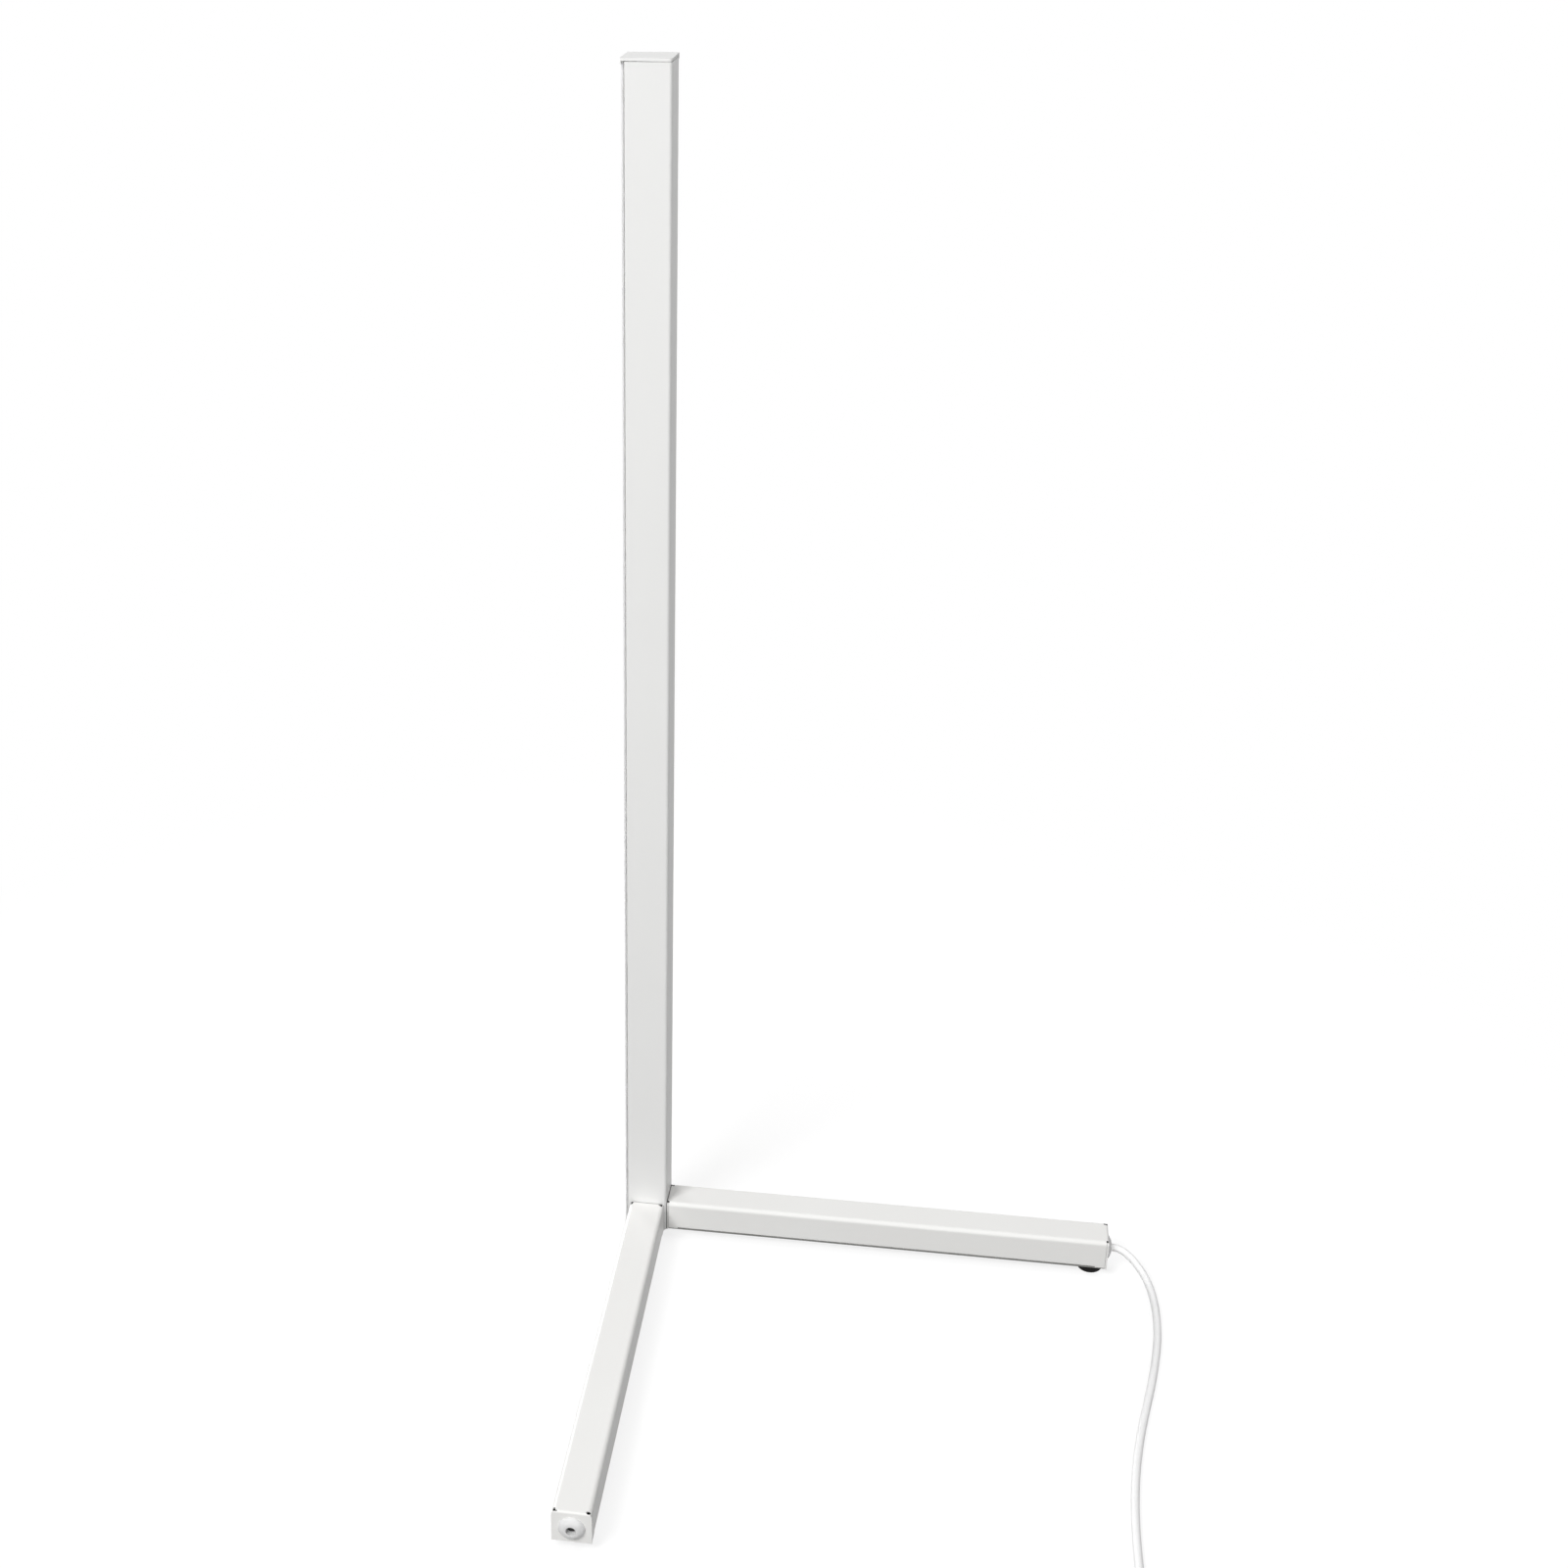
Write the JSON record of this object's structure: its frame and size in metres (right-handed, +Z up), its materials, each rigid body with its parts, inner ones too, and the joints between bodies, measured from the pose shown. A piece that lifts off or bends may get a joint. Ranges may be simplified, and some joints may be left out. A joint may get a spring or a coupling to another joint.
{
  "type": "corner floor lamp",
  "caption": "Slender square column with an opal light cover on its wall side, standing in a room's corner on slim legs at a right angle, with a mains lead and plug.",
  "frame": {"origin": "middle of the corner foot's underside, on the floor under the column's axis", "axes": "+Z up along the column, +X along the leg with the mains lead, -Y along the leg with the sensor window; the opal cover looks to -X and +Y"},
  "size_m": [0.4669, 0.5265, 1.0105],
  "materials": {
    "white_profile": "smooth white powder coat on an extruded profile",
    "white_steel": "smooth white powder coat on folded steel sheet",
    "opal": "extruded translucent opal polycarbonate",
    "white_plastic": "moulded white plastic with a soft sheen",
    "white_cord": "extruded soft white PVC sheath",
    "black_rubber": "moulded matt black rubber",
    "steel": "zinc-plated steel",
    "block": "mill-finish aluminium",
    "pins": "nickel-plated brass",
    "sleeves": "moulded black plastic",
    "tie": "moulded white strap",
    "receiver": "dark infrared-clear epoxy",
    "strip": "white flexible circuit strip",
    "chips": "white package with a yellow phosphor face",
    "case": "moulded white plastic",
    "board": "green glass-fibre circuit board",
    "components": "moulded black packages",
    "inner_sheath": "extruded PVC sheath"
  },
  "bodies": {
    "root": {"pole_profile": "white_profile", "pole_diffuser": "opal", "top_cap": "white_profile", "pole_base_plate": "white_profile", "corner_block": "block", "base_plate_screw": "steel", "led_strip": "strip", "led_chips": "chips", "right_leg_shell": "white_steel", "front_leg_shell": "white_steel", "right_leg_bottom_cover": "white_steel", "front_leg_bottom_cover": "white_steel", "right_cover_screws": "steel", "front_cover_screws": "steel", "right_joint_screws": "steel", "front_joint_screws": "steel", "corner_foot": "black_rubber", "right_foot": "black_rubber", "front_foot": "black_rubber", "foot_studs": "steel", "cord_gland": "white_plastic", "gland_nut": "white_plastic", "sensor_window": "white_plastic", "window_nut": "white_plastic", "infrared_receiver": "receiver", "driver_case": "case", "driver_lid": "case", "driver_board": "board", "driver_components": "components", "controller_case": "case", "controller_lid": "case", "controller_board": "board", "controller_components": "components", "mains_inner_lead": "inner_sheath", "low_voltage_lead": "inner_sheath", "strip_lead": "inner_sheath", "receiver_lead": "inner_sheath", "power_cord": "white_cord", "cord_coil": "white_cord", "cord_tie": "tie", "cord_tail": "white_cord", "plug_body": "white_plastic", "plug_pins": "pins", "plug_pin_sleeves": "sleeves"}
  },
  "joints": []
}
